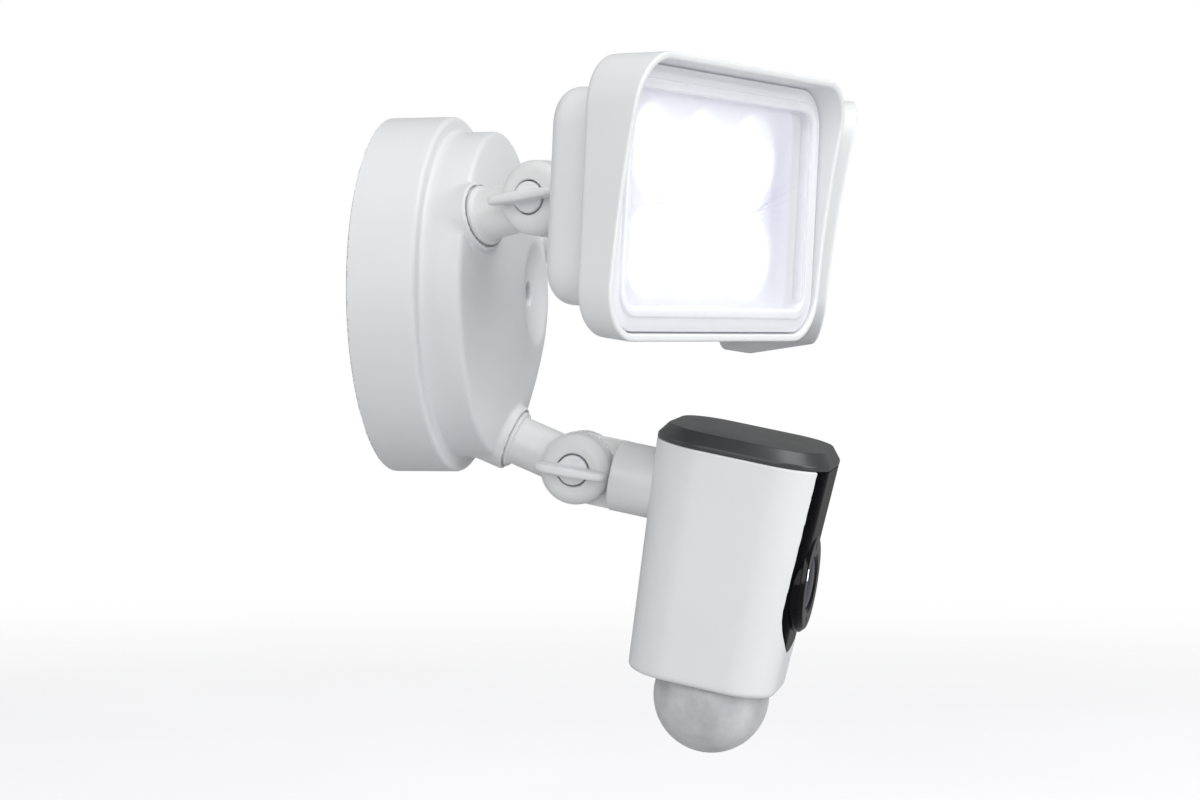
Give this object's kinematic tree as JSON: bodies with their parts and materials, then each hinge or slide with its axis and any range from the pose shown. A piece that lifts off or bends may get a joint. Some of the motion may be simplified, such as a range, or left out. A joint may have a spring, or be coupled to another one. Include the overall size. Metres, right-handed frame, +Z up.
{
  "type": "floodlight security camera",
  "caption": "Wall-mounted floodlight with a round canopy, two adjustable rectangular lamp heads and a camera with a motion sensor dome on jointed arms.",
  "frame": {"origin": "centre of the mounting crossbar's back face, on the wall plane", "axes": "+Y into the wall, -Y out towards the lit area, +Z up, +X to the right as seen from behind the viewer facing the wall"},
  "size_m": [0.2854, 0.1611, 0.2283],
  "materials": {
    "white_shell": "fine satin moulded finish",
    "white_arm": "fine satin moulded finish",
    "white_knob": "smooth satin",
    "light_grey_housing": "satin",
    "clear_lens": "clear moulded polycarbonate",
    "reflector": "vacuum-metallised plastic",
    "light_source": "phosphor-coated emitter",
    "dark_cap": "satin dark grey",
    "black_gloss": "high-gloss black",
    "camera_glass": "coated optical glass",
    "sensor_dome": "translucent milky polyethylene",
    "rubber_seal": "matt",
    "foam_seal": "closed-cell foam",
    "zinc_steel": "zinc-plated",
    "green_screw": "green ground screw",
    "circuit_board": "solder mask",
    "white_board": "white solder mask on aluminium",
    "heat_sink": "extruded",
    "electronics": "moulded parts",
    "infrared": "tinted emitter",
    "status": "light pipe"
  },
  "bodies": {
    "base": {"canopy": "white_shell", "wall_gasket": "foam_seal", "crossbar": "zinc_steel", "canopy_screw": "zinc_steel", "ground_screw": "green_screw", "driver_board": "circuit_board", "driver_parts": "electronics", "arm_seals": "rubber_seal"},
    "left_arm": {"left_arm": "white_arm", "left_lock_nut": "zinc_steel"},
    "left_knob": {"left_knob": "white_knob"},
    "left_lamp": {"left_link": "white_arm", "left_square_nut": "zinc_steel", "left_housing": "light_grey_housing", "left_heat_sink": "heat_sink", "left_led_board": "white_board", "left_leds": "light_source", "left_reflector": "reflector", "left_gasket": "rubber_seal", "left_lens": "clear_lens", "left_frame": "white_shell", "left_screws": "zinc_steel"},
    "right_arm": {"right_arm": "white_arm", "right_lock_nut": "zinc_steel"},
    "right_knob": {"right_knob": "white_knob"},
    "right_lamp": {"right_link": "white_arm", "right_square_nut": "zinc_steel", "right_housing": "light_grey_housing", "right_heat_sink": "heat_sink", "right_led_board": "white_board", "right_leds": "light_source", "right_reflector": "reflector", "right_gasket": "rubber_seal", "right_lens": "clear_lens", "right_frame": "white_shell", "right_screws": "zinc_steel"},
    "camera_arm": {"camera_arm": "white_arm", "camera_lock_nut": "zinc_steel"},
    "camera_knob": {"camera_knob": "white_knob"},
    "camera": {"camera_link": "white_arm", "camera_square_nut": "zinc_steel", "camera_shell": "white_shell", "camera_cap": "dark_cap", "front_panel": "black_gloss", "lens_bezel": "black_gloss", "lens_glass": "camera_glass", "lens_barrel": "electronics", "image_board": "circuit_board", "main_board": "circuit_board", "infrared_leds": "infrared", "speaker": "electronics", "status_light": "status", "sensor_dome": "sensor_dome", "sensor_can": "zinc_steel", "sensor_board": "circuit_board"}
  },
  "joints": [
    {"name": "left_swivel", "type": "hinge", "parent": "base", "child": "left_arm", "pos_m": [-0.04417, -0.043, 0.02448], "axis": [-0.3417, -0.9205, 0.1894], "range_deg": [-60, 6]},
    {"name": "left_tilt", "type": "hinge", "parent": "left_arm", "child": "left_lamp", "pos_m": [-0.05271, -0.06601, 0.02922], "axis": [-0.9385, 0.3449, -0.0171], "range_deg": [-20, 45]},
    {"name": "left_knob_turn", "type": "hinge", "parent": "left_arm", "child": "left_knob", "pos_m": [-0.05271, -0.06601, 0.02922], "axis": [-0.9385, 0.3449, -0.0171], "range_deg": [-180, 180]},
    {"name": "right_swivel", "type": "hinge", "parent": "base", "child": "right_arm", "pos_m": [0.04417, -0.043, 0.02448], "axis": [-0.3417, 0.9205, -0.1894], "range_deg": [-60, 6]},
    {"name": "right_tilt", "type": "hinge", "parent": "right_arm", "child": "right_lamp", "pos_m": [0.05271, -0.06601, 0.02922], "axis": [-0.9385, -0.3449, 0.0171], "range_deg": [-20, 45]},
    {"name": "right_knob_turn", "type": "hinge", "parent": "right_arm", "child": "right_knob", "pos_m": [0.05271, -0.06601, 0.02922], "axis": [-0.9385, -0.3449, 0.0171], "range_deg": [-180, 180]},
    {"name": "camera_swivel", "type": "hinge", "parent": "base", "child": "camera_arm", "pos_m": [0, -0.043, -0.0505], "axis": [0, -0.9205, -0.3907], "range_deg": [-40, 40]},
    {"name": "camera_tilt", "type": "hinge", "parent": "camera_arm", "child": "camera", "pos_m": [0, -0.06601, -0.06027], "axis": [-0.9969, 0.0307, -0.0722], "range_deg": [-35, 20]},
    {"name": "camera_knob_turn", "type": "hinge", "parent": "camera_arm", "child": "camera_knob", "pos_m": [0, -0.06601, -0.06027], "axis": [-0.9969, 0.0307, -0.0722], "range_deg": [-180, 180]}
  ]
}
